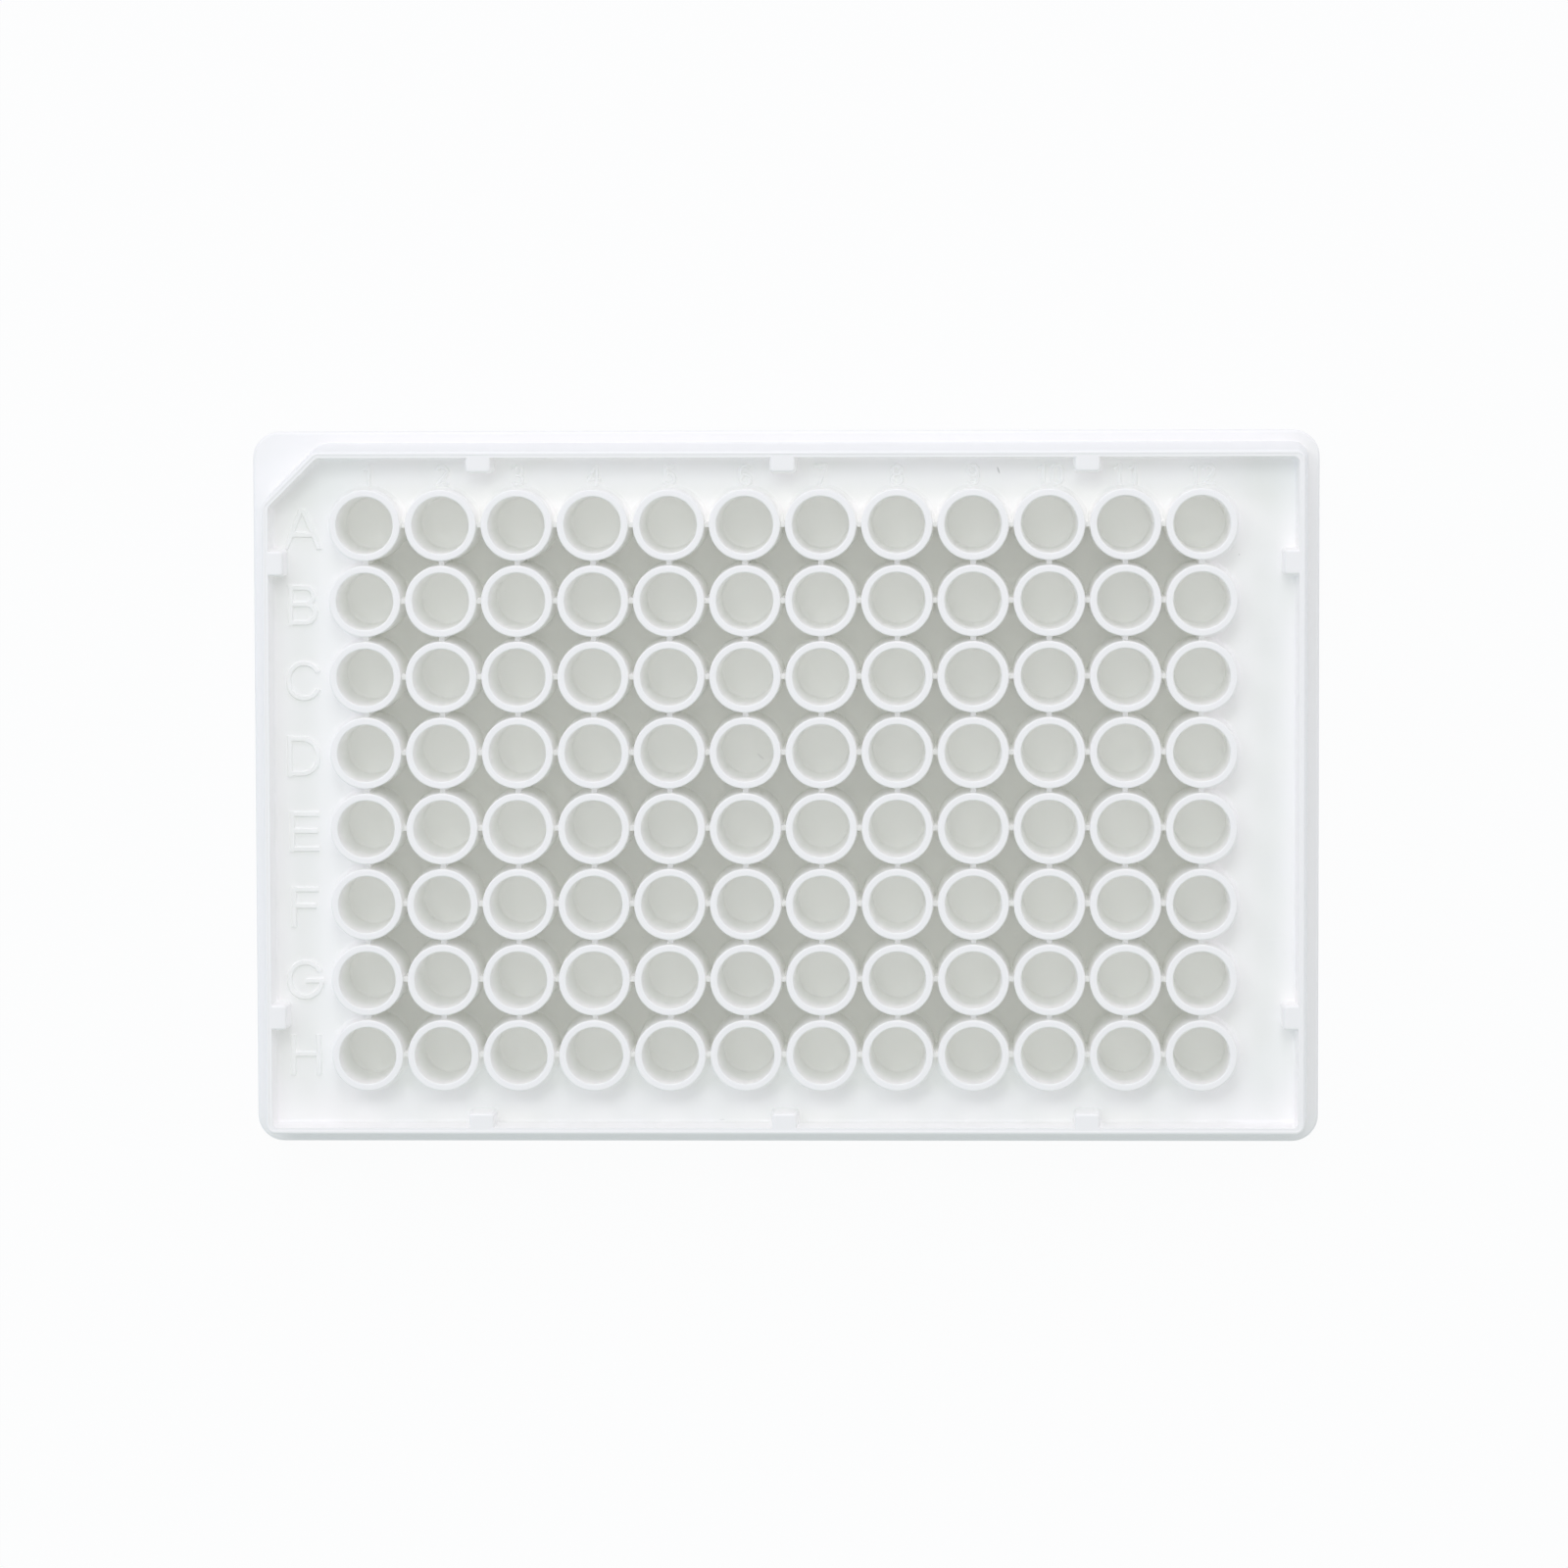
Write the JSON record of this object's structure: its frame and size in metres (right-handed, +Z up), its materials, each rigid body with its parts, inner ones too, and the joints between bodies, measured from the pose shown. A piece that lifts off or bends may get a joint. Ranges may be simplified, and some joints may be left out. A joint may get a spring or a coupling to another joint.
{
  "type": "well plate",
  "caption": "Shallow rectangular lab plate with a grid of round flat-bottomed wells, a raised outer wall, a base flange and one cut corner.",
  "frame": {"origin": "centre of the footprint, on the plane that the flange stands on", "axes": "+X from column 1 to column 12, +Y from row H to row A, +Z up towards the well mouths"},
  "size_m": [0.1278, 0.0854, 0.0143],
  "materials": {
    "white_polystyrene": "satin, opaque white"
  },
  "bodies": {
    "root": {"well_plate": "white_polystyrene"}
  },
  "joints": []
}
